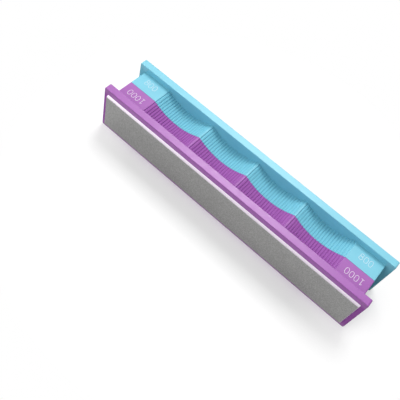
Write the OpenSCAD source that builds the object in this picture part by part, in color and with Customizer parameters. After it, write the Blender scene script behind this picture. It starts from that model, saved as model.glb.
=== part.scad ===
// Two-sided diamond whetstone for the hand.
// Two like mouldings, one per colour, meet at the middle plane and make an H-shaped body.
// Each flange carries a steel plate with a diamond layer, bonded by an adhesive film.
// X runs along the stone, Y across it from the fine side (-Y) to the coarse side (+Y), Z is up.
// The origin is at the middle of the rectangle that the lower flange edges stand on.

/* [Body] */
// Length of the flanges
body_l = 154.6; // [152:0.1:170]
// Width across the outer faces of the flanges, without the plates
body_w = 28.6; // [26:0.1:32]
// Height of the flanges
body_h = 27.1; // [26:0.1:30]
// Thickness of a flange
flange_t = 3.9; // [3:0.1:5]
// Chamfer along the edges of a flange
flange_chamfer = 0.4; // [0.2:0.1:0.8]
// Distance from the end of a flange back to the end of the web
web_end_inset = 3.8; // [2:0.1:6]
// Depth of the flat end pads below the edge of the flange
pad_drop = 3.1; // [2.5:0.1:3.5]

/* [Finger scallops] */
// Number of finger scallops in a row
scallop_count = 4; // [3:1:4]
// Distance between the middles of neighbouring scallops
scallop_pitch = 28.9; // [24:0.1:29]
// Depth of a scallop below the pads
scallop_depth = 4.3; // [3:0.1:5]
// Width of the crest between two scallops, from groove to groove
crest_w = 1.75; // [1.2:0.05:2]
// Height of a crest above the grooves beside it
crest_h = 0.6; // [0.3:0.1:0.8]
// Number of grip ribs in a scallop
rib_count = 20; // [12:1:24]
// Height of a grip rib
rib_h = 0.35; // [0.15:0.05:0.4]

/* [Mouldings] */
// Thickness of the moulded walls
wall_t = 2.4; // [1.8:0.1:2.6]
// Thickness of the cross walls inside the web
cross_wall_t = 1.6; // [1:0.1:2]
// Diameter of the locating pegs
peg_d = 4; // [3:0.1:4.4]
// Length of the locating pegs
peg_l = 5; // [3:0.5:7]
// Radial clearance between a peg and its socket
peg_gap = 0.1; // [0.05:0.05:0.2]

/* [Diamond plates] */
// Length of a plate
plate_l = 150; // [130:0.5:152]
// Height of a plate
plate_h = 21.1; // [18:0.1:23]
// Radius of the corners of a plate
plate_corner_r = 0.5; // [0.3:0.1:3]
// Thickness of the steel
plate_t = 1.25; // [0.8:0.05:2]
// Bevel of the rim of the steel, from its back to its front
plate_bevel = 0.4; // [0.1:0.1:0.4]
// Thickness of the diamond layer
diamond_t = 0.2; // [0.1:0.05:0.3]
// Distance from the rim of the steel to the edge of the diamond layer
diamond_inset = 0.5; // [0.5:0.1:1.5]
// Thickness of the adhesive film
film_t = 0.1; // [0.05:0.05:0.3]
// Distance from the rim of the steel to the edge of the film
film_inset = 0.3; // [0.2:0.1:2]

/* [Hidden] */

$fn = 48;
cut = 1;
mid_z = body_h / 2;
pad_z = body_h - pad_drop;
web_l = body_l - 2 * web_end_inset;
flange_inner_y = body_w / 2 - flange_t;

// The grooves of a scallop lie on an arc that starts and ends beside the crests.
scallop_chord = scallop_pitch - crest_w;
arc_depth = scallop_depth - crest_h;
scallop_r = (scallop_chord * scallop_chord / 4 + arc_depth * arc_depth) / (2 * arc_depth);
scallop_axis_z = pad_z - scallop_depth + scallop_r;
scallop_half_angle = asin(scallop_chord / 2 / scallop_r);
rib_angle = 2 * scallop_half_angle / rib_count;

// One rib as [share of its width, share of its height], from groove to groove. A crest is a broad rib.
rib_profile = [[0.06, 0], [0.2, 1], [0.8, 1], [0.94, 0]];

// Locating pegs stand on every second crest, and each faces a socket of the other half.
crest_x = [for (i = [0 : scallop_count]) scallop_x(i) - scallop_pitch / 2];
boss_index = [for (i = [0 : scallop_count]) if (abs(crest_x[i]) > scallop_pitch / 4) i];
boss_d = peg_d + 2 * peg_gap + 2 * cross_wall_t;
socket_depth = peg_l + 0.5;
peg_lead = 0.5;

function scallop_x(i) = (i - (scallop_count - 1) / 2) * scallop_pitch;

// A boss has a peg where its count from the left end and its side agree, and a socket otherwise.
function has_peg(x) = (x < 0) == (abs(x) > scallop_pitch * (scallop_count / 2 - 0.5));

// Point on a scallop, at an angle from straight down and a height above the grooves.
function scallop_point(i, angle, rise) = [
  scallop_x(i) + (scallop_r - rise) * sin(angle),
  scallop_axis_z - (scallop_r - rise) * cos(angle)
];

// Points of one ribbed scallop, from the groove at its left end to the groove at its right end.
function scallop_points(i) = concat(
  [scallop_point(i, -scallop_half_angle, 0)],
  [
    for (k = [0 : rib_count - 1])
      for (p = rib_profile)
        scallop_point(i, (k + p[0]) * rib_angle - scallop_half_angle, p[1] * rib_h)
  ],
  [scallop_point(i, scallop_half_angle, 0)]
);

// Points of the crest at the left end of a scallop.
function crest_points(i) = [
  for (p = rib_profile)
    [crest_x[i] + (p[0] - 0.5) * crest_w, pad_z - (1 - p[1]) * crest_h]
];

// Upper outline of the web, from left to right, and the same points turned about mid height.
// The pads take the place of the outer halves of the first and the last crest.
crests_and_scallops = concat(
  [for (i = [0 : scallop_count - 1]) for (p = concat(crest_points(i), scallop_points(i))) p],
  crest_points(scallop_count)
);
web_top = concat(
  [[-web_l / 2, pad_z]],
  [for (p = crests_and_scallops) if (abs(p[0]) < crest_x[scallop_count]) p],
  [[web_l / 2, pad_z]]
);
web_bottom = [for (p = web_top) [-p[0], body_h - p[1]]];

// Extrudes an outline drawn in X and Z along Y, from y0 to y1.
module extrude_y(y0, y1) {
  translate([0, y1, 0])
    rotate([90, 0, 0])
      linear_extrude(y1 - y0)
        children();
}

// Round bar along Y, from y0 to y1.
module bar_y(x, z, d, y0, y1) {
  translate([x, y1, z])
    rotate([90, 0, 0])
      cylinder(h = y1 - y0, d = d);
}

// Rectangle around the origin with its corners cut at 45 degrees.
module chamfered_rect(w, h, c) {
  polygon([
    [-w / 2 + c, -h / 2], [w / 2 - c, -h / 2],
    [w / 2, -h / 2 + c], [w / 2, h / 2 - c],
    [w / 2 - c, h / 2], [-w / 2 + c, h / 2],
    [-w / 2, h / 2 - c], [-w / 2, -h / 2 + c]
  ]);
}

// Rectangle around the origin with round corners.
module rounded_rect(w, h, r) {
  square([w - 2 * r, h], center = true);
  square([w, h - 2 * r], center = true);
  for (sx = [-1, 1])
    for (sy = [-1, 1])
      translate([sx * (w / 2 - r), sy * (h / 2 - r)])
        circle(r);
}

// Flange at -Y with chamfered edges all round.
module flange() {
  translate([0, -body_w / 2 + flange_t / 2, mid_z])
    intersection() {
      extrude_y(-flange_t / 2, flange_t / 2)
        chamfered_rect(body_l, body_h, flange_chamfer);
      translate([0, 0, -body_h / 2])
        linear_extrude(body_h)
          chamfered_rect(body_l, flange_t, flange_chamfer);
      rotate([90, 0, 90])
        linear_extrude(body_l, center = true)
          chamfered_rect(flange_t, body_h, flange_chamfer);
    }
}

// Half of the web, from inside the flange to the middle plane.
module web_half() {
  extrude_y(-flange_inner_y - flange_t / 2, 0)
    polygon(concat(web_top, web_bottom));
}

// Hollow of the half web, which keeps one wall thickness below the scallops.
module core() {
  core_l = web_l - 2 * wall_t;
  core_h = 2 * pad_z - body_h - 2 * wall_t;
  core_y = -body_w / 2 + wall_t;
  difference() {
    translate([-core_l / 2, core_y, mid_z - core_h / 2])
      cube([core_l, cut - core_y, core_h]);
    for (i = [0 : scallop_count - 1])
      for (axis_z = [scallop_axis_z, body_h - scallop_axis_z])
        bar_y(scallop_x(i), axis_z, 2 * (scallop_r + wall_t), core_y - cut, 2 * cut);
    for (x = crest_x)
      translate([x - cross_wall_t / 2, core_y - cut, 0])
        cube([cross_wall_t, 3 * cut - core_y, body_h]);
    for (k = boss_index)
      bar_y(crest_x[k], mid_z, boss_d, core_y - cut, 2 * cut);
  }
}

// Peg that stands past the middle plane, with a tapered lead at its tip.
module peg(x) {
  bar_y(x, mid_z, peg_d, -peg_l, peg_l - peg_lead);
  translate([x, peg_l - peg_lead, mid_z])
    rotate([-90, 0, 0])
      cylinder(h = peg_lead, d1 = peg_d, d2 = peg_d - 2 * peg_lead);
}

// Socket that takes a peg of the other half.
module socket(x) {
  bar_y(x, mid_z, peg_d + 2 * peg_gap, -socket_depth, cut);
}

// One moulding: flange, hollow half web, pegs and sockets.
module body_half() {
  difference() {
    union() {
      flange();
      web_half();
    }
    core();
    for (k = boss_index)
      if (!has_peg(crest_x[k]))
        socket(crest_x[k]);
  }
  for (k = boss_index)
    if (has_peg(crest_x[k]))
      peg(crest_x[k]);
}

// Rectangle on the -Y side of the origin that narrows towards the front by the bevel.
module bevelled_section(w) {
  polygon([
    [-w / 2, -film_t], [w / 2, -film_t],
    [w / 2 - plate_bevel, -film_t - plate_t], [-w / 2 + plate_bevel, -film_t - plate_t]
  ]);
}

// Sheet on the -Y side, inset from the rim of the plate, standing off the flange by a distance.
module sheet(inset, corner_r, off, t) {
  translate([0, 0, mid_z])
    extrude_y(-body_w / 2 - off - t, -body_w / 2 - off)
      rounded_rect(plate_l - 2 * inset, plate_h - 2 * inset, corner_r);
}

module adhesive_film() {
  sheet(film_inset, plate_corner_r, 0, film_t);
}

// The rim of the steel slopes all round.
module steel_plate() {
  intersection() {
    sheet(0, plate_corner_r, film_t, plate_t);
    translate([0, -body_w / 2, 0])
      linear_extrude(body_h)
        bevelled_section(plate_l);
    translate([0, -body_w / 2, mid_z])
      rotate([0, 90, 0])
        linear_extrude(body_l, center = true)
          bevelled_section(plate_h);
  }
}

module diamond_layer() {
  sheet(diamond_inset, plate_corner_r / 2, film_t + plate_t, diamond_t);
}

// Turns a piece of the fine side half a turn about Z, onto the coarse side.
module coarse_side() {
  rotate([0, 0, 180])
    children();
}

module fine_body_half() {
  color("mediumorchid")
    body_half();
}

module coarse_body_half() {
  color("skyblue")
    coarse_side()
      body_half();
}

module fine_adhesive_film() {
  color("dimgray")
    adhesive_film();
}

module coarse_adhesive_film() {
  color("dimgray")
    coarse_side()
      adhesive_film();
}

module fine_steel_plate() {
  color("gainsboro")
    steel_plate();
}

module coarse_steel_plate() {
  color("gainsboro")
    coarse_side()
      steel_plate();
}

module fine_diamond_layer() {
  color("darkgray")
    diamond_layer();
}

module coarse_diamond_layer() {
  color("gray")
    coarse_side()
      diamond_layer();
}

fine_body_half();
coarse_body_half();
fine_adhesive_film();
coarse_adhesive_film();
fine_steel_plate();
coarse_steel_plate();
fine_diamond_layer();
coarse_diamond_layer();
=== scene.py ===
"""Looks of a two-sided diamond whetstone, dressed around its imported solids.

The stone lies along X, its fine side faces -Y and it stands on its flange edges at z = 0.
Sizes are in millimetres, and become metres where a mesh, a lamp or the camera is made.
"""

import logging
import math
from dataclasses import dataclass, field
from enum import Enum

import bpy
import numpy as np
from mathutils import Matrix, Vector


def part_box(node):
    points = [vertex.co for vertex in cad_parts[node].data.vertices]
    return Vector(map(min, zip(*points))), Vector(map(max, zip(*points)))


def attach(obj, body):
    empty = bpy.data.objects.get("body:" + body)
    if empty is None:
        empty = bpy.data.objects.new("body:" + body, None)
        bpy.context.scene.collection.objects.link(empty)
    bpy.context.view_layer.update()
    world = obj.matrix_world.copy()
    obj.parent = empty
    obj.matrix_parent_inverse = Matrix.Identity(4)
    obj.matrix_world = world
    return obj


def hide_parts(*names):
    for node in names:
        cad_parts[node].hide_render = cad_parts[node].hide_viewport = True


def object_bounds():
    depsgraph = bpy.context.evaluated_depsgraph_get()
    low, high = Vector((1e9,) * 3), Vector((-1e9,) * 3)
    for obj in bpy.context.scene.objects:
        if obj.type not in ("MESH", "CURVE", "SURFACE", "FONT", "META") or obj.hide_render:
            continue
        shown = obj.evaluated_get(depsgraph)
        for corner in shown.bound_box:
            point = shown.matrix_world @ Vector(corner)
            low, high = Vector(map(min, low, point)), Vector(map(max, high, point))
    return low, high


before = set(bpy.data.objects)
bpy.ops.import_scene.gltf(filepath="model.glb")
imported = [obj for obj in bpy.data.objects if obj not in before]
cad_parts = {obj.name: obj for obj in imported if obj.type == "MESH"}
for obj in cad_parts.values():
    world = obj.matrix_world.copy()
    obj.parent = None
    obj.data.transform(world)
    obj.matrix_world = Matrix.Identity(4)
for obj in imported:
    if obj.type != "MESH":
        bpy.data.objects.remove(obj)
CAD_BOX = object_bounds()

LOG = logging.getLogger("whetstone")
Array = np.ndarray
Colour = tuple[float, float, float]

MM = 0.001
BODY = "root"
WHITE = (1.0, 1.0, 1.0, 1.0)
# Parts of a quarter round.
ARC_STEPS = 5
# Edges sharper than this stay sharp under smooth shading.
CREASE_DEG = 25.0
# Distance from an edge to the row of points that keeps the face beside it flat.
SUPPORT = 0.25
# Half width of the tip of a round stroke end, as a share of the stroke's width.
TIP_SHARE = 0.05
# Most of a random pattern lies within this span.
PATTERN_SPAN = (0.25, 0.75)


class Side(Enum):
    """The two like sides of the stone. The coarse side is the fine side after half a turn about Z."""

    FINE = "fine"
    COARSE = "coarse"

    @property
    def turn(self) -> float:
        """Factor on x and y that carries a point of the fine side onto this side."""
        return 1.0 if self is Side.FINE else -1.0


class End(Enum):
    """The two ends of the stone that carry a number."""

    LEFT = -1.0
    RIGHT = 1.0


def linear(red: float, green: float, blue: float) -> Colour:
    """Colour for a shader, from the 0 to 255 values that it shows on a screen, by the sRGB curve.

    Args:
        red: Red on the screen.
        green: Green on the screen.
        blue: Blue on the screen.

    Returns:
        The three linear values that a shader works with.
    """
    share = np.array([red, green, blue]) / 255.0
    low, high = share / 12.92, ((share + 0.055) / 1.055) ** 2.4
    return tuple(float(v) for v in np.where(share <= 0.04045, low, high))


def node_span(node: str) -> tuple[Array, Array]:
    """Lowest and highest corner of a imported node.

    Args:
        node: Name of the node.

    Returns:
        The two corners in millimetres.
    """
    low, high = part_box(node)
    return np.array(low) / MM, np.array(high) / MM


def placed(name: str, data: bpy.types.ID) -> bpy.types.Object:
    """Puts a new object into the scene.

    Args:
        name: Name of the object.
        data: Its mesh, lamp or lens.

    Returns:
        The object, at the origin.
    """
    thing = bpy.data.objects.new(name, data)
    bpy.context.scene.collection.objects.link(thing)
    return thing


@dataclass
class Surface:
    """A mesh as whole arrays: its points in millimetres, and its faces as lists of point numbers."""

    points: Array
    faces: list[list[int]]

    def turned(self, side: Side) -> "Surface":
        """The surface carried from the fine side onto the given side."""
        return Surface(self.points * np.array([side.turn, side.turn, 1.0]), self.faces)

    def piece(self, name: str, material: bpy.types.Material) -> bpy.types.Object:
        """Makes the surface a smooth piece that rides on the stone.

        Args:
            name: Name of the piece.
            material: Finish of the piece.

        Returns:
            The new object, at the origin.
        """
        mesh = bpy.data.meshes.new(name)
        mesh.from_pydata((self.points * MM).tolist(), [], self.faces)
        mesh.polygons.foreach_set("use_smooth", np.ones(len(mesh.polygons), dtype=bool))
        mesh.set_sharp_from_angle(angle=math.radians(CREASE_DEG))
        mesh.materials.append(material)
        piece = placed(name, mesh)
        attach(piece, BODY)
        LOG.info("%s: %d faces", name, len(self.faces))
        return piece

    @staticmethod
    def joined(parts: list["Surface"]) -> "Surface":
        """One surface that holds several separate ones.

        Args:
            parts: The surfaces to put together, with four corners to each face.

        Returns:
            All their points and faces, renumbered.
        """
        starts = np.cumsum([0] + [len(part.points) for part in parts])
        faces = np.concatenate([np.array(part.faces) + start for part, start in zip(parts, starts)])
        return Surface(np.concatenate([part.points for part in parts]), faces.tolist())


def edge_round(radius: float) -> tuple[Array, Array]:
    """Quarter round of an edge, from a face over to the rim.

    At the angle a, the round lies r * (1 - sin a) inside the rim and r * (1 - cos a) below the face.

    Args:
        radius: Radius of the round.

    Returns:
        The distances inside the rim, and the depths below the face.
    """
    angle = np.linspace(0.0, math.pi / 2, ARC_STEPS + 1)
    return radius * (1 - np.sin(angle)), radius * (1 - np.cos(angle))


def level_line(x: Array, z: float) -> Array:
    """Points (x, z) of a level line."""
    return np.stack([x, np.full_like(x, z)], axis=1)


def upper_chain(half_l: float, half_h: float, corner_r: float, top: Array) -> Array:
    """Upper half of an upright outline, from the middle of its left end to the middle of its right end.

    The ends are straight lines, the corners are quarter arcs, and the top is given.

    Args:
        half_l: Half of the outline's length.
        half_h: Half of its height at the corners.
        corner_r: Radius of its corners.
        top: Points (x, z) of the top, strictly between the corners.

    Returns:
        Points (x, z), with z counted from the middle of the height.
    """
    angle = np.linspace(0.0, math.pi / 2, ARC_STEPS + 1)
    corner = np.stack([corner_r * (1 - np.cos(angle)), corner_r * (np.sin(angle) - 1)], axis=1)
    left_corner = corner + [-half_l, half_h]
    end_z = np.linspace(0.0, half_h - corner_r, 2 * ARC_STEPS, endpoint=False)
    left_end = np.stack([np.full_like(end_z, -half_l), end_z], axis=1)
    left = np.concatenate([left_end, left_corner])
    return np.concatenate([left, top, left[::-1] * [-1, 1]])


def closed_loft(chains: Array, depths: Array, mid_z: float) -> Surface:
    """Closed skin over a row of outlines, each the given upper chain and its mirror image below.

    Neighbouring outlines are joined by quads. The first and the last are closed by upright strips
    from each upper point to the lower point beneath it.

    Args:
        chains: Upper chains, an array of outlines by points by (x, z).
        depths: Place of each outline along Y, rising.
        mid_z: Height of the mirror plane.

    Returns:
        The skin, with its faces turned outwards.
    """
    rows, half = chains.shape[:2]
    loops = np.concatenate([chains, chains[:, -2:0:-1] * [1, -1]], axis=1)
    around = loops.shape[1]
    y = np.broadcast_to(np.asarray(depths)[:, None], loops.shape[:2])
    points = np.stack([loops[..., 0], y, loops[..., 1] + mid_z], axis=-1).reshape(-1, 3)

    number = np.arange(rows * around).reshape(rows, around)
    ahead = np.roll(number, -1, axis=1)
    sides = np.stack([number[:-1], ahead[:-1], ahead[1:], number[1:]], axis=-1).reshape(-1, 4)

    upper = np.arange(half)
    lower = (around - upper) % around
    strips = np.stack([upper[1:-2], upper[2:-1], lower[2:-1], lower[1:-2]], axis=1)
    tips = np.array([[0, 1, lower[1]], [half - 2, half - 1, lower[half - 2]]])
    last = (rows - 1) * around
    faces = (
        sides.tolist()
        + (strips + last).tolist()
        + (tips + last).tolist()
        + strips[:, ::-1].tolist()
        + tips[:, ::-1].tolist()
    )
    return Surface(points, faces)


def ribbon(path: Array, width: float, low: float, high: float, closed: bool) -> Surface:
    """Flat stroke of ink along a path: a rectangle carried along it, square to the path.

    An open stroke ends round: within half a width of its end its half width is the circle's,
    the square root of r squared minus the rest squared.

    Args:
        path: Points (x, y) of the stroke's middle line.
        width: Width of the stroke.
        low: Height of its underside.
        high: Height of its top.
        closed: Whether the path runs back to its start.

    Returns:
        The closed stroke.
    """
    if closed:
        along = np.roll(path, -1, axis=0) - np.roll(path, 1, axis=0)
        half_width = np.full(len(path), width / 2)
    else:
        along = np.gradient(path, axis=0)
        step = np.linalg.norm(np.diff(path, axis=0), axis=1)
        run = np.concatenate([[0.0], np.cumsum(step)])
        rest = np.maximum(width / 2 - np.minimum(run, run[-1] - run), 0.0)
        half_width = np.sqrt(np.maximum((width / 2) ** 2 - rest**2, (TIP_SHARE * width) ** 2))
    along = along / np.linalg.norm(along, axis=1, keepdims=True)
    left = np.stack([-along[:, 1], along[:, 0]], axis=1) * half_width[:, None]

    corners = np.stack([path - left, path + left, path + left, path - left], axis=1)
    heights = np.broadcast_to(np.array([low, low, high, high]), corners.shape[:2])
    points = np.concatenate([corners, heights[..., None]], axis=2).reshape(-1, 3)

    count = len(path)
    number = np.arange(4 * count).reshape(count, 4)
    start = number if closed else number[:-1]
    stop = np.roll(number, -1, axis=0) if closed else number[1:]
    sides = np.stack(
        [start, np.roll(start, -1, axis=1), np.roll(stop, -1, axis=1), stop], axis=-1
    ).reshape(-1, 4)
    faces = sides[:, ::-1].tolist()
    if not closed:
        faces += [number[0].tolist(), number[-1, ::-1].tolist()]
    return Surface(points, faces)


class NodeBoard:
    """A node tree that grows by one call per node."""

    def __init__(self, tree: bpy.types.NodeTree) -> None:
        """Clears the tree.

        Args:
            tree: Node tree of a material or of the world.
        """
        self.tree = tree
        tree.nodes.clear()

    def add(self, kind: str, inputs: dict | None = None, **settings) -> bpy.types.Node:
        """Adds a node, sets it and links it.

        Args:
            kind: Type of the node.
            inputs: What goes into each input, by name or number: a socket to link, or a value.
            **settings: Properties of the node itself.

        Returns:
            The new node.
        """
        node = self.tree.nodes.new(kind)
        for key, value in settings.items():
            setattr(node, key, value)
        for key, value in (inputs or {}).items():
            if isinstance(value, bpy.types.NodeSocket):
                self.tree.links.new(value, node.inputs[key])
            else:
                node.inputs[key].default_value = value
        return node

    def place(self) -> bpy.types.NodeSocket:
        """Place on the stone, in metres from its origin."""
        return self.add("ShaderNodeTexCoord").outputs["Object"]

    def noise(self, place: bpy.types.NodeSocket, size: float, detail: float = 2.0) -> bpy.types.NodeSocket:
        """Even random pattern.

        Args:
            place: Where the pattern is read.
            size: Size of its spots in millimetres.
            detail: Number of finer layers.

        Returns:
            The pattern, around one half.
        """
        inputs = {"Vector": place, "Scale": 1 / (size * MM), "Detail": detail}
        return self.add("ShaderNodeTexNoise", inputs).outputs["Fac"]

    def ramp(
        self, value: bpy.types.NodeSocket, span: tuple[float, float], ends: tuple[float, float]
    ) -> bpy.types.NodeSocket:
        """A value that runs evenly over a span and stays level outside it.

        Args:
            value: What is read.
            span: Where the run starts and stops.
            ends: The values at its start and its stop.

        Returns:
            The running value.
        """
        inputs = {
            "Value": value,
            "From Min": span[0],
            "From Max": span[1],
            "To Min": ends[0],
            "To Max": ends[1],
        }
        return self.add("ShaderNodeMapRange", inputs).outputs["Result"]

    def spread(self, pattern: bpy.types.NodeSocket, low: float, high: float) -> bpy.types.NodeSocket:
        """The middle of a random pattern, stretched.

        Args:
            pattern: A pattern around one half.
            low: The value of its low spots.
            high: The value of its high spots.

        Returns:
            The stretched pattern.
        """
        return self.ramp(pattern, PATTERN_SPAN, (low, high))

    def tinted(self, colour: Colour, value: bpy.types.NodeSocket) -> bpy.types.NodeSocket:
        """A colour whose brightness is multiplied by a pattern."""
        inputs = {"Color": (*colour, 1.0), "Value": value}
        return self.add("ShaderNodeHueSaturation", inputs).outputs["Color"]

    def bump(self, height: bpy.types.NodeSocket, depth: float, strength: float) -> bpy.types.NodeSocket:
        """Relief from a pattern, with its depth in millimetres."""
        inputs = {"Height": height, "Distance": depth * MM, "Strength": strength}
        return self.add("ShaderNodeBump", inputs).outputs["Normal"]

    def product(self, first: bpy.types.NodeSocket, second: bpy.types.NodeSocket) -> bpy.types.NodeSocket:
        """Two values multiplied."""
        return self.add("ShaderNodeMath", {0: first, 1: second}, operation="MULTIPLY").outputs[0]

    def away(self, place: bpy.types.NodeSocket, axis: str, middle: float = 0.0) -> bpy.types.NodeSocket:
        """Distance along an axis from a middle plane.

        Args:
            place: Place on the stone.
            axis: Name of the axis.
            middle: Where the plane cuts the axis, in metres.

        Returns:
            The distance in metres, the same to both sides.
        """
        along = self.add("ShaderNodeSeparateXYZ", {0: place}).outputs[axis]
        offset = self.add("ShaderNodeMath", {0: along, 1: middle}, operation="SUBTRACT").outputs[0]
        return self.add("ShaderNodeMath", {0: offset}, operation="ABSOLUTE").outputs[0]

    def shown(self) -> bpy.types.NodeSocket:
        """Choice between what the camera sees and what lights the stone.

        Returns:
            One for rays that come from the camera, directly, mirrored or through something clear,
            and zero for the others.
        """
        rays = self.add("ShaderNodeLightPath").outputs
        seen = self.add("ShaderNodeMath", {0: rays["Is Camera Ray"], 1: rays["Is Glossy Ray"]})
        inputs = {0: seen.outputs[0], 1: rays["Is Transmission Ray"]}
        return self.add("ShaderNodeMath", inputs, use_clamp=True).outputs[0]

    def coat(self, inputs: dict) -> None:
        """Ends the tree of a material in a shader with these inputs."""
        shader = self.add("ShaderNodeBsdfPrincipled", inputs)
        self.add("ShaderNodeOutputMaterial", {"Surface": shader.outputs[0]})


def new_material(name: str) -> tuple[bpy.types.Material, NodeBoard]:
    """Starts a material.

    Args:
        name: Name of the material.

    Returns:
        The empty material, and the board for its nodes.
    """
    material = bpy.data.materials.new(name)
    material.use_nodes = True
    return material, NodeBoard(material.node_tree)


@dataclass(frozen=True)
class MouldedPlastic:
    """Satin moulded plastic: a fine mould grain, a faint mottle and an uneven sheen.

    Attributes:
        name: Name of the material and of its slot.
        colour: Colour of the plastic.
        gloss: Specular level.
        roughness: Roughness of the flanges' edges.
        grip_roughness: Roughness of the web and its scallops.
        grip_z: Where the roughness changes, above and below the middle of the height.
        mottle_mm: Size of the spots of colour.
        mottle: How far their brightness goes up and down.
        sheen_mm: Size of the spots of sheen.
        sheen: How far their roughness goes up and down.
        grain_mm: Size of the mould grain.
        grain_detail: Number of its finer layers.
        grain_depth_mm: Depth of its relief.
        grain_relief: Strength of its relief.
    """

    name: str
    colour: Colour
    gloss: float = 0.45
    roughness: float = 0.34
    grip_roughness: float = 0.8
    grip_z: tuple[float, float] = (9.2, 11.2)
    mottle_mm: float = 14.0
    mottle: float = 0.03
    sheen_mm: float = 3.0
    sheen: float = 0.04
    grain_mm: float = 0.3
    grain_detail: float = 3.0
    grain_depth_mm: float = 0.02
    grain_relief: float = 0.35

    def roughness_by_height(self, board: NodeBoard, place: bpy.types.NodeSocket) -> bpy.types.NodeSocket:
        """Roughness that falls from the textured grip to the smooth edges of the flanges.

        Args:
            board: Board of the material.
            place: Place on the stone.

        Returns:
            The roughness, with a faint uneven sheen.
        """
        middle_z = (CAD_BOX[0].z + CAD_BOX[1].z) / 2
        low, high = self.grip_z
        ends = (self.grip_roughness, self.roughness)
        even = board.ramp(board.away(place, "Z", middle_z), (low * MM, high * MM), ends)
        uneven = board.spread(board.noise(place, self.sheen_mm), -self.sheen, self.sheen)
        return board.add("ShaderNodeMath", {0: even, 1: uneven}).outputs[0]

    def material(self) -> bpy.types.Material:
        """Makes the finish.

        Returns:
            A new material.
        """
        material, board = new_material(self.name)
        place = board.place()
        mottle = board.spread(board.noise(place, self.mottle_mm), 1 - self.mottle, 1 + self.mottle)
        grain = board.noise(place, self.grain_mm, self.grain_detail)
        inputs = {
            "Base Color": board.tinted(self.colour, mottle),
            "Specular IOR Level": self.gloss,
            "Roughness": self.roughness_by_height(board, place),
            "Normal": board.bump(grain, self.grain_depth_mm, self.grain_relief),
        }
        board.coat(inputs)
        return material


@dataclass(frozen=True)
class DiamondGrit:
    """Diamond grains in plated nickel: a grey speckled face that glints between its grains.

    Attributes:
        name: Name of the material.
        colour: Colour of the face.
        grain_mm: Size of a grain.
        speckle_grains: Size of the speckles, counted in grains.
        speckle_detail: Number of their finer layers.
        speckle: How far their brightness goes up and down.
        cloud_mm: Size of the clouds over the face.
        cloud: How far their brightness goes up and down.
        roughness: Roughness in the middle of a grain and at its edge.
        depth_grains: Depth of the relief, counted in grains.
        relief: Strength of the relief.
    """

    name: str
    colour: Colour
    grain_mm: float
    speckle_grains: float = 4.0
    speckle_detail: float = 4.0
    speckle: float = 0.24
    cloud_mm: float = 22.0
    cloud: float = 0.05
    roughness: tuple[float, float] = (0.4, 0.56)
    depth_grains: float = 0.3
    relief: float = 0.4

    def material(self) -> bpy.types.Material:
        """Makes the finish.

        Returns:
            A new material.
        """
        material, board = new_material(self.name)
        place = board.place()
        spots = board.noise(place, self.speckle_grains * self.grain_mm, self.speckle_detail)
        speckle = board.spread(spots, 1 - self.speckle, 1 + self.speckle)
        cloud = board.spread(board.noise(place, self.cloud_mm), 1 - self.cloud, 1 + self.cloud)
        cells = {"Vector": place, "Scale": 1 / (self.grain_mm * MM)}
        grains = board.add("ShaderNodeTexVoronoi", cells).outputs["Distance"]
        inputs = {
            "Base Color": board.tinted(self.colour, board.product(speckle, cloud)),
            "Metallic": 1.0,
            "Roughness": board.spread(grains, *self.roughness),
            "Normal": board.bump(grains, self.depth_grains * self.grain_mm, self.relief),
        }
        board.coat(inputs)
        return material


@dataclass(frozen=True)
class GroundSteel:
    """Satin plated steel with fine grinding lines along the plate, and a painted shade that darkens the rim
    towards the grit.

    Attributes:
        name: Name of the material.
        colour: Colour of the steel.
        front_shade: Share of its brightness that is left at the front of the rim, under the painted shade.
        front_shade_y: Where the painted shade darkens the rim, to both sides of the middle plane.
        metallic: Share of bare metal.
        roughness: Roughness in and between the grinding lines.
        line_mm: Width of a line.
        line_detail: Number of finer layers of lines.
        line_shade: Brightness in and between the lines.
        line_depth_mm: Depth of their relief.
        line_relief: Strength of their relief.
        stretch: Length of a line, counted in widths.
    """

    name: str
    colour: Colour
    front_shade: float = 0.64
    front_shade_y: tuple[float, float] = (14.9, 15.7)
    metallic: float = 0.85
    roughness: tuple[float, float] = (0.24, 0.38)
    line_mm: float = 0.12
    line_detail: float = 3.0
    line_shade: tuple[float, float] = (0.94, 1.04)
    line_depth_mm: float = 0.01
    line_relief: float = 0.25
    stretch: float = 40.0

    def painted_rim_shade(self, board: NodeBoard) -> bpy.types.NodeSocket:
        """Painted shade: brightness that falls from the back of the rim to its front.

        Args:
            board: Board of the material.

        Returns:
            The share of the colour's brightness.
        """
        # Painted shade: the steel's colour darkens towards the front of the rim.
        start, stop = self.front_shade_y
        return board.ramp(board.away(board.place(), "Y"), (start * MM, stop * MM), (1.0, self.front_shade))

    def material(self) -> bpy.types.Material:
        """Makes the finish.

        Returns:
            A new material.
        """
        material, board = new_material(self.name)
        squeeze = {"Vector": board.place(), "Scale": (1 / self.stretch, 1.0, 1.0)}
        place = board.add("ShaderNodeMapping", squeeze).outputs["Vector"]
        lines = board.noise(place, self.line_mm, self.line_detail)
        # The grinding lines' tone, times the painted shade at the front of the rim.
        shade = board.product(board.spread(lines, *self.line_shade), self.painted_rim_shade(board))
        inputs = {
            "Base Color": board.tinted(self.colour, shade),
            "Metallic": self.metallic,
            "Roughness": board.spread(lines, *self.roughness),
            "Normal": board.bump(lines, self.line_depth_mm, self.line_relief),
        }
        board.coat(inputs)
        return material


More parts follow.
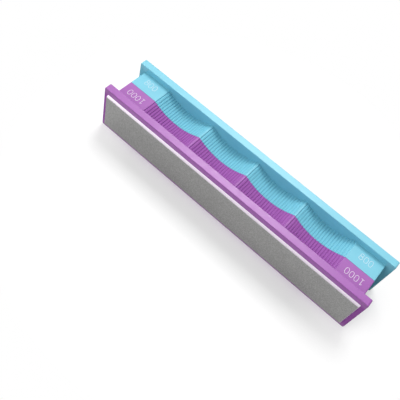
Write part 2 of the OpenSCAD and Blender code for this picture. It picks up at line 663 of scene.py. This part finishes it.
@dataclass(frozen=True)
class DullCoat:
    """Dull even coat, such as printed ink or the edge of an adhesive film.

    Attributes:
        name: Name of the material.
        colour: Colour of the coat.
        roughness: Roughness in its low and its high spots.
        spot_mm: Size of the spots.
        spot_shade: Brightness of the low and the high spots.
    """

    name: str
    colour: Colour
    roughness: tuple[float, float] = (0.52, 0.68)
    spot_mm: float = 0.4
    spot_shade: tuple[float, float] = (0.93, 1.03)

    def material(self) -> bpy.types.Material:
        """Makes the finish.

        Returns:
            A new material.
        """
        material, board = new_material(self.name)
        spots = board.noise(board.place(), self.spot_mm)
        inputs = {
            "Base Color": board.tinted(self.colour, board.spread(spots, *self.spot_shade)),
            "Roughness": board.spread(spots, *self.roughness),
        }
        board.coat(inputs)
        return material


PURPLE = MouldedPlastic("purple_plastic", linear(150, 82, 163))
BLUE = MouldedPlastic("blue_plastic", linear(112, 187, 207))
FINE_GRIT = DiamondGrit("fine_grit", linear(146, 146, 145), grain_mm=0.14)
COARSE_GRIT = DiamondGrit("coarse_grit", linear(138, 138, 138), grain_mm=0.18)
# The steel's faint lilac tint is a painted reflection of the purple flange.
STEEL_WITH_PAINTED_REFLECTION = GroundSteel("ground_steel", linear(237, 227, 240))
FILM = DullCoat("adhesive_film", linear(70, 70, 72))
INK = DullCoat("white_ink", linear(232, 228, 234), roughness=(0.42, 0.58))


@dataclass
class BodyHalf:
    """One moulding: a flange and half of the web, ribbed in the finger scallops.

    Attributes:
        side: Side of the stone.
        finish: Plastic of the moulding.
        flange_t: Thickness of the flange.
        flange_edge_r: Radius of the round along its edges.
        flange_corner_r: Radius of its corners.
        least_corner_r: Smallest radius of a corner that is drawn in.
        web_end_inset: Distance from the end of the flange back to the end of the web.
        web_corner_r: Radius of the web's corners.
        pad_drop: Depth of the end pads below the edge of the flange.
        scallop_count: Number of finger scallops in a row.
        scallop_pitch: Distance between the middles of neighbouring scallops.
        scallop_depth: Depth of a scallop below the pads.
        crest_w: Width of the crest between two scallops.
        crest_h: Height of a crest above the grooves beside it.
        rib_count: Number of ribs in a scallop.
        rib_h: Height of a rib.
        rib_flatness: How level crests and grooves are.
        groove_bias: How much narrower grooves are than ribs.
        rib_steps: Points along a rib.
        seam: Depth of the seam at the middle plane, and its width on this half.
        seam_gap: Distance of the moulding's end from the middle plane.
        half_l: Half of the flange's length.
        half_h: Half of its height.
        outer_y: Place of its outer face.
    """

    side: Side
    finish: MouldedPlastic
    flange_t: float = 3.9
    flange_edge_r: float = 0.3
    flange_corner_r: float = 0.8
    least_corner_r: float = 0.05
    web_end_inset: float = 3.8
    web_corner_r: float = 0.4
    pad_drop: float = 3.1
    scallop_count: int = 4
    scallop_pitch: float = 28.9
    scallop_depth: float = 4.3
    crest_w: float = 1.75
    crest_h: float = 0.6
    rib_count: int = 20
    rib_h: float = 0.35
    rib_flatness: float = 2.5
    groove_bias: float = 0.72
    rib_steps: int = 16
    seam: float = 0.08
    seam_gap: float = 0.02
    half_l: float = field(init=False)
    half_h: float = field(init=False)
    outer_y: float = field(init=False)

    def __post_init__(self) -> None:
        """Takes the flange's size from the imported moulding."""
        low, high = node_span(f"{Side.FINE.value}_body_half")
        self.half_l = (high[0] - low[0]) / 2
        self.half_h = (high[2] - low[2]) / 2
        self.outer_y = low[1]

    @property
    def inner_y(self) -> float:
        """Place of the flange's inner face."""
        return self.outer_y + self.flange_t

    @property
    def web_half_l(self) -> float:
        """Half of the web's length."""
        return self.half_l - self.web_end_inset

    @property
    def web_half_h(self) -> float:
        """Half of the web's height at the pads."""
        return self.half_h - self.pad_drop

    def rib_rise(self, turns: Array) -> Array:
        """Shape of the ribs above their grooves.

        A cosine is lowered by a bias, which narrows the grooves, and flattened by the hyperbolic
        tangent, so that crests and grooves are round and level.

        Args:
            turns: Place along the scallop, counted in ribs.

        Returns:
            The share of the rib's height, from zero in the grooves to one on the crests.
        """
        wave = np.tanh(self.rib_flatness * (np.cos(2 * math.pi * turns) - self.groove_bias))
        groove, crest = np.tanh(self.rib_flatness * (np.array([1.0, -1.0]) - self.groove_bias))
        return (groove - wave) / (groove - crest)

    def scallop(self, middle: float) -> Array:
        """Ribbed arc of one scallop, from the groove at its left end to the groove at its right end.

        The arc of the grooves has the chord c and the depth s, so its radius is
        (c * c / 4 + s * s) / (2 * s).

        Args:
            middle: Place of its middle along the stone.

        Returns:
            Points (x, z), with z counted from the middle of the height.
        """
        chord, depth = self.scallop_pitch - self.crest_w, self.scallop_depth - self.crest_h
        radius = (chord**2 / 4 + depth**2) / (2 * depth)
        turns = np.linspace(0, self.rib_count, self.rib_count * self.rib_steps + 1)
        angle = (2 * turns / self.rib_count - 1) * math.asin(chord / 2 / radius)
        reach = radius - self.rib_h * self.rib_rise(turns)
        axis_z = self.web_half_h - self.scallop_depth + radius
        return np.stack([middle + reach * np.sin(angle), axis_z - reach * np.cos(angle)], axis=1)

    def web_top(self) -> Array:
        """Top of the web between its corners: a pad, the scallops with their crests, and a pad.

        A crest between two scallops is one broad rib, as high as the pads. A pad ends in half of it.

        Returns:
            Points (x, z), with z counted from the middle of the height.
        """
        first = -(self.scallop_count - 1) / 2 * self.scallop_pitch
        scallops = [self.scallop(first + i * self.scallop_pitch) for i in range(self.scallop_count)]
        turns = np.linspace(0, 1, 2 * self.rib_steps + 1)[1:-1]
        crest_z = self.web_half_h - self.crest_h * (1 - self.rib_rise(turns))
        crest = np.stack([self.crest_w * turns, crest_z], axis=1)
        crests = [crest + [scallop[-1, 0], 0.0] for scallop in scallops[:-1]]

        shoulder = crest[self.rib_steps - 1:] + [scallops[0][0, 0] - self.crest_w, 0.0]
        pad_start = -self.web_half_l + self.web_corner_r + SUPPORT
        pad_x = np.linspace(pad_start, shoulder[0, 0] - SUPPORT, 2 * ARC_STEPS)
        pad = np.concatenate([level_line(pad_x, self.web_half_h), shoulder])
        pairs = zip(scallops, crests + [pad[::-1] * [-1, 1]])
        return np.concatenate([pad] + [part for pair in pairs for part in pair])

    def flange_chain(self, inset: float, shares: Array) -> Array:
        """Upper outline of the flange, drawn in by an inset.

        Args:
            inset: Distance inside the flange's rim.
            shares: Places of the top's points, from -1 at the left corner to 1 at the right one.

        Returns:
            Points (x, z) from the middle of the left end to the middle of the right end.
        """
        half_l, half_h = self.half_l - inset, self.half_h - inset
        corner_r = max(self.flange_corner_r - inset, self.least_corner_r)
        top = level_line(shares * (half_l - corner_r), half_h)
        return upper_chain(half_l, half_h, corner_r, top)

    def skin(self) -> Surface:
        """Closed skin of the moulding, as a row of outlines from the plate's side to the middle plane.

        The flange's outline rounds over at both of its faces. On the inner face it runs in to the
        web's outline, which then goes straight to the middle plane and ends in a fine seam.

        Returns:
            The skin of the fine side's moulding.
        """
        top = self.web_top()
        web = upper_chain(self.web_half_l, self.web_half_h, self.web_corner_r, top)
        shares = top[:, 0] / (self.web_half_l - self.web_corner_r)
        slope = np.gradient(web, axis=0)
        outward = np.stack([-slope[:, 1], slope[:, 0]], axis=1)
        outward /= np.linalg.norm(outward, axis=1, keepdims=True)
        seam_web = web - outward * self.seam
        seam_web[[0, -1], 1] = 0.0

        inset, drop = edge_round(self.flange_edge_r)
        lip = self.flange_edge_r + SUPPORT
        flange_rows = (
            [(lip, self.outer_y)]
            + list(zip(inset, self.outer_y + drop))
            + [(0.0, self.outer_y + lip), (0.0, self.inner_y - lip)]
            + list(zip(inset[::-1], self.inner_y - drop[::-1]))
            + [(lip, self.inner_y)]
        )
        web_y = [self.inner_y, self.inner_y + SUPPORT, self.inner_y / 2, -self.seam - SUPPORT, -self.seam]
        chains = [self.flange_chain(float(inside), shares) for inside, _ in flange_rows]
        chains += [web] * len(web_y) + [seam_web]
        depths = [depth for _, depth in flange_rows] + web_y + [-self.seam_gap]
        return closed_loft(np.array(chains), np.array(depths), self.half_h)

    def build(self) -> None:
        """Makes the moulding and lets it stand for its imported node."""
        name = self.side.value
        piece = self.skin().turned(self.side).piece(f"{name}_body", self.finish.material())
        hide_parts(f"{name}_body_half")


@dataclass
class DiamondPlate:
    """A steel plate with its diamond face, on a film that bonds it to a flange.

    Attributes:
        side: Side of the stone.
        grit: Finish of the diamond face.
        slot: Material slot of the diamond face; not used.
        steel_corner_r: Radius of the steel's corners.
        steel_bevel: How far its rim slopes in from the back to the front.
        steel_edge_r: Radius of the round at its front.
        grit_corner_r: Radius of the diamond face's corners.
        grit_edge_r: Radius of the round at its front.
        back_edge_r: Radius of the rounds at the back, and smallest radius of a corner.
        rim_rows: Rows of points on the rim, as shares of the way from the front to the back.
        top_steps: Points along the straight top.
    """

    side: Side
    grit: DiamondGrit
    slot: str
    steel_corner_r: float = 0.5
    steel_bevel: float = 0.4
    steel_edge_r: float = 0.06
    grit_corner_r: float = 0.25
    grit_edge_r: float = 0.12
    back_edge_r: float = 0.02
    rim_rows: tuple[float, float] = (0.12, 0.88)
    top_steps: int = 60

    def sheet(self, node: str, corner_r: float, edge_r: float, bevel: float = 0.0) -> Surface:
        """Upright sheet with round corners, whose rim slopes and rounds over at its front and back.

        It is a row of outlines from the front to the back, each drawn in by its own inset.

        Args:
            node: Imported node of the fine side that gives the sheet's size and place.
            corner_r: Radius of its corners.
            edge_r: Radius of the round at its front.
            bevel: How far the rim slopes in from the back to the front.

        Returns:
            The closed sheet of the fine side.
        """
        low, high = node_span(node)
        half_l, half_h = (high[0] - low[0]) / 2, (high[2] - low[2]) / 2
        front, front_drop = edge_round(edge_r)
        back, back_drop = edge_round(self.back_edge_r)
        share = np.array(self.rim_rows)
        rim_start, rim_stop = low[1] + edge_r, high[1] - self.back_edge_r
        rim = rim_start + share * (rim_stop - rim_start)
        front_lip, back_lip = bevel + edge_r + SUPPORT, self.back_edge_r + SUPPORT
        insets = np.concatenate([[front_lip], bevel + front, bevel * (1 - share), back[::-1], [back_lip]])
        depths = [[low[1]], low[1] + front_drop, rim, high[1] - back_drop[::-1], [high[1]]]
        chains = [self.outline(half_l - inset, half_h - inset, corner_r - inset) for inset in insets]
        return closed_loft(np.array(chains), np.concatenate(depths), (low[2] + high[2]) / 2)

    def outline(self, half_l: float, half_h: float, corner_r: float) -> Array:
        """Upper outline of a sheet, with evenly spaced points along its straight top.

        Args:
            half_l: Half of the sheet's length.
            half_h: Half of its height.
            corner_r: Radius of its corners, kept above a least radius.

        Returns:
            Points (x, z) from the middle of the left end to the middle of the right end.
        """
        radius = max(corner_r, self.back_edge_r)
        x = np.linspace(-1, 1, self.top_steps + 2)[1:-1] * (half_l - radius)
        return upper_chain(half_l, half_h, radius, level_line(x, half_h))

    def build(self) -> None:
        """Makes the steel and the diamond face, and gives the film its finish."""
        name, fine = self.side.value, Side.FINE.value
        steel = self.sheet(f"{fine}_steel_plate", self.steel_corner_r, self.steel_edge_r, self.steel_bevel)
        plate = steel.turned(self.side).piece(f"{name}_plate", STEEL_WITH_PAINTED_REFLECTION.material())
        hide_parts(f"{name}_steel_plate")

        layer = self.sheet(f"{fine}_diamond_layer", self.grit_corner_r, self.grit_edge_r)
        face = layer.turned(self.side).piece(f"{name}_diamond_face", self.grit.material())
        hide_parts(f"{name}_diamond_layer")

        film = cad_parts[f"{name}_adhesive_film"]
        film.data.materials.clear()
        film.data.materials.append(FILM.material())


@dataclass
class GritNumber:
    """The grit number of one side, printed on the pads at both ends, with its top towards its own plate.

    Attributes:
        side: Side of the stone.
        digits: The number.
        middle_y: Distance of its middle from the middle of the stone, across the stone.
        pad_z: Height of the pads.
        middle_x: Distance of its middle from the middle of the stone, along the stone.
        height: Height of a digit.
        zero_w: Width of a zero.
        pitch: Distance between the middles of neighbouring digits.
        stroke: Width of a stroke.
        ink_t: Height of the ink above the pad, and its depth in the pad.
        ink_step: How much lower each stroke is than the one before, as a share of the ink's height.
        waist: Height of the waist of an eight, as a share of its height.
        upper_w: Width of its upper loop, as a share of a zero's.
        arm: Half of the foot of a one, and the reach of its flag, as a share of its height.
        flag_drop: Drop of the flag, as a share of its reach.
        squareness: Exponent of the round strokes. A circle or an ellipse has 2.
        steps: Points along a stroke.
    """

    side: Side
    digits: str
    middle_y: float
    pad_z: float
    middle_x: float = 65.4
    height: float = 3.4
    zero_w: float = 1.9
    pitch: float = 2.55
    stroke: float = 0.16
    ink_t: float = 0.03
    ink_step: float = 0.05
    waist: float = 0.54
    upper_w: float = 0.86
    arm: float = 0.24
    flag_drop: float = 0.8
    squareness: float = 2.5
    steps: int = 40

    def ring(self, middle: float, low: float, high: float, width: float) -> Array:
        """Middle line of a round stroke, a superellipse.

        With the exponent n, the share of each half axis at the angle a is the cosine or the sine of a
        to the power 2 / n, with its sign.

        Args:
            middle: Place of its middle along the line of print.
            low: Lower edge of the ink.
            high: Upper edge of the ink.
            width: Width over the ink.

        Returns:
            Points along the line of print and across it.
        """
        angle = np.linspace(0, 2 * math.pi, self.steps, endpoint=False)
        wave = np.stack([np.cos(angle), np.sin(angle)], axis=1)
        shape = np.sign(wave) * np.abs(wave) ** (2 / self.squareness)
        half = np.array([width - self.stroke, high - low - self.stroke]) / 2
        return shape * half + [middle, (low + high) / 2]

    def line(self, start: tuple[float, float], stop: tuple[float, float]) -> Array:
        """Straight stroke from point to point, with more points near its ends."""
        share = (1 - np.cos(np.linspace(0, math.pi, self.steps))) / 2
        return np.array(start) + share[:, None] * (np.array(stop) - np.array(start))

    def strokes(self, digit: str, middle: float) -> list[tuple[Array, bool]]:
        """Strokes of a digit.

        Args:
            digit: One of 0, 1 and 8.
            middle: Place of its middle along the line of print.

        Returns:
            The middle line of each stroke, and whether it is closed.
        """
        low, high = -self.height / 2, self.height / 2
        waist = low + self.waist * self.height
        edge = self.stroke / 2
        foot, head = low + edge, high - edge
        arm = self.arm * self.height
        flag = (middle - arm, head - self.flag_drop * arm)
        shapes = {
            "0": [(self.ring(middle, low, high, self.zero_w), True)],
            "8": [
                (self.ring(middle, low, waist + edge, self.zero_w), True),
                (self.ring(middle, waist - edge, high, self.upper_w * self.zero_w), True),
            ],
            "1": [
                (self.line((middle, foot), (middle, head)), False),
                (self.line((middle, head), flag), False),
                (self.line((middle - arm, foot), (middle + arm, foot)), False),
            ],
        }
        return shapes[digit]

    def print_at(self, end: End) -> Surface:
        """Ink of the number at one end of the fine side, with its top towards the plate.

        No two strokes are of one height, so that faces don't fall together where strokes cross.

        Args:
            end: The end of the stone.

        Returns:
            The strokes, standing just proud of the pad.
        """
        first = -(len(self.digits) - 1) / 2 * self.pitch
        strokes = [
            stroke
            for i, digit in enumerate(self.digits)
            for stroke in self.strokes(digit, first + i * self.pitch)
        ]
        place = np.array([end.value * self.middle_x, -self.middle_y])
        top = self.pad_z + self.ink_t * (1 - self.ink_step * np.arange(len(strokes)))
        parts = [
            ribbon(place - path, self.stroke, self.pad_z - self.ink_t, high, closed)
            for (path, closed), high in zip(strokes, top)
        ]
        return Surface.joined(parts)

    def build(self) -> None:
        """Prints the number at both ends."""
        ink = INK.material()
        for end in End:
            name = f"{self.side.value}_number_{end.name.lower()}"
            self.print_at(end).turned(self.side).piece(name, ink)


@dataclass
class Softbox:
    """A soft square lamp that looks at the stone.

    Attributes:
        name: Name of the lamp.
        direction: Direction from the stone to the lamp.
        level: Light on a surface that faces the lamp, where 1 shows a colour as it is written.
        distance: Distance from the stone.
        size: Length of a side.
    """

    name: str
    direction: tuple[float, float, float]
    level: float
    distance: float
    size: float

    def build(self) -> None:
        """Makes the lamp.

        A square lamp of power P at the distance d lights a facing surface with P / (pi * d * d), and
        a colour shows as it is written where that is pi, so a level k needs k * pi * pi * d * d.
        """
        lamp = bpy.data.lights.new(self.name, "AREA")
        lamp.size = self.size * MM
        lamp.energy = self.level * math.pi**2 * (self.distance * MM) ** 2
        place = Vector(self.direction).normalized() * self.distance * MM
        stand = placed(self.name, lamp)
        stand.location = place
        stand.rotation_euler = (-place).to_track_quat("-Z", "Y").to_euler()


@dataclass
class Studio:
    """White floor and surroundings, soft lamps, and the camera.

    Attributes:
        floor_half: Half of the floor's width.
        floor_drop: Distance of the floor below the stone.
        floor_colour: Colour of the floor that is seen.
        floor_bounce: Colour of the floor that throws light back onto the stone.
        floor_glow: Share of the seen floor that is plain white, near the stone.
        floor_fade: Distances from the stone's middle between which that share rises to one.
        sky_level: Light from the surroundings.
        camera_place: Place of the camera.
        camera_aim: Point that it looks at.
        camera_roll_deg: Turn of the camera about its view.
        lens_mm: Focal length.
        clip_mm: Nearest and farthest distance that the camera shows.
        lamps: The soft lamps.
    """

    floor_half: float = 3000.0
    floor_drop: float = 0.05
    floor_colour: Colour = (0.95, 0.95, 0.95)
    floor_bounce: Colour = (0.15, 0.15, 0.15)
    floor_glow: float = 0.2
    floor_fade: tuple[float, float] = (55.0, 115.0)
    sky_level: float = 0.27
    camera_place: tuple[float, float, float] = (45.151, -149.723, 234.132)
    camera_aim: tuple[float, float, float] = (-8.87, -19.73, 13.55)
    camera_roll_deg: float = 21.0
    lens_mm: float = 50.83
    clip_mm: tuple[float, float] = (5.0, 20000.0)
    lamps: tuple[Softbox, ...] = (
        Softbox("back", (-0.155, 0.44, 0.885), level=0.57, distance=800.0, size=320.0),
        Softbox("back_low", (-0.18, 0.8, 0.55), level=0.48, distance=900.0, size=1000.0),
        Softbox("left_front", (-0.75, -0.45, 0.5), level=0.43, distance=900.0, size=1200.0),
        Softbox("front", (-0.2, -0.8, 0.55), level=0.6, distance=900.0, size=1200.0),
    )

    def camera(self) -> None:
        """Makes the camera, level first and then rolled about its view."""
        lens = bpy.data.cameras.new("camera")
        lens.lens = self.lens_mm
        lens.clip_start, lens.clip_end = (distance * MM for distance in self.clip_mm)
        place, aim = Vector(self.camera_place) * MM, Vector(self.camera_aim) * MM
        level = (aim - place).to_track_quat("-Z", "Y").to_matrix().to_4x4()
        roll = Matrix.Rotation(math.radians(self.camera_roll_deg), 4, "Z")
        stand = placed("camera", lens)
        stand.matrix_world = Matrix.Translation(place) @ level @ roll
        bpy.context.scene.camera = stand

    def floor(self) -> None:
        """Makes the floor, which shows white with a soft shadow and throws back little light.

        Away from the stone the floor shows plain white, as the surroundings do.
        """
        half, low = self.floor_half, -self.floor_drop
        corners = np.array([[-half, -half, low], [half, -half, low], [half, half, low], [-half, half, low]])
        mesh = bpy.data.meshes.new("floor")
        mesh.from_pydata((corners * MM).tolist(), [], [[0, 1, 2, 3]])
        material, board = new_material("floor")
        shown = board.add("ShaderNodeBsdfDiffuse", {"Color": (*self.floor_colour, 1.0)})
        glow = board.add("ShaderNodeEmission", {"Color": WHITE, "Strength": 1.0})
        away = board.add("ShaderNodeVectorMath", {0: board.place()}, operation="LENGTH").outputs["Value"]
        start, stop = self.floor_fade
        share = board.ramp(away, (start * MM, stop * MM), (self.floor_glow, 1.0))
        white = board.add("ShaderNodeMixShader", {0: share, 1: shown.outputs[0], 2: glow.outputs[0]})
        bounce = board.add("ShaderNodeBsdfDiffuse", {"Color": (*self.floor_bounce, 1.0)})
        choice = {0: board.shown(), 1: bounce.outputs[0], 2: white.outputs[0]}
        surface = board.add("ShaderNodeMixShader", choice)
        board.add("ShaderNodeOutputMaterial", {"Surface": surface.outputs[0]})
        mesh.materials.append(material)
        floor = placed("floor", mesh)

    def sky(self) -> None:
        """Makes the surroundings white to look at, and a soft even light on the stone."""
        world = bpy.data.worlds.new("surroundings")
        world.use_nodes = True
        board = NodeBoard(world.node_tree)
        light = board.add("ShaderNodeBackground", {"Color": WHITE, "Strength": self.sky_level})
        white = board.add("ShaderNodeBackground", {"Color": WHITE, "Strength": 1.0})
        choice = {0: board.shown(), 1: light.outputs[0], 2: white.outputs[0]}
        mix = board.add("ShaderNodeMixShader", choice)
        board.add("ShaderNodeOutputWorld", {"Surface": mix.outputs[0]})
        bpy.context.scene.world = world

    def build(self) -> None:
        """Sets up the whole studio."""
        bpy.context.scene.view_settings.view_transform = "Standard"
        self.camera()
        self.floor()
        self.sky()
        for lamp in self.lamps:
            lamp.build()


def main() -> None:
    """Builds the studio and the stone, piece by piece."""
    logging.basicConfig(level=logging.INFO, format="%(name)s %(message)s")
    Studio().build()
    halves = {
        Side.FINE: BodyHalf(Side.FINE, PURPLE),
        Side.COARSE: BodyHalf(Side.COARSE, BLUE),
    }
    for half in halves.values():
        half.build()
    DiamondPlate(Side.FINE, FINE_GRIT, "fine_diamond").build()
    DiamondPlate(Side.COARSE, COARSE_GRIT, "coarse_diamond").build()
    pad_z = halves[Side.FINE].half_h + halves[Side.FINE].web_half_h
    GritNumber(Side.FINE, "1000", middle_y=5.05, pad_z=pad_z).build()
    GritNumber(Side.COARSE, "800", middle_y=5.7, pad_z=pad_z, stroke=0.12).build()


if __name__ == "__main__":
    main()
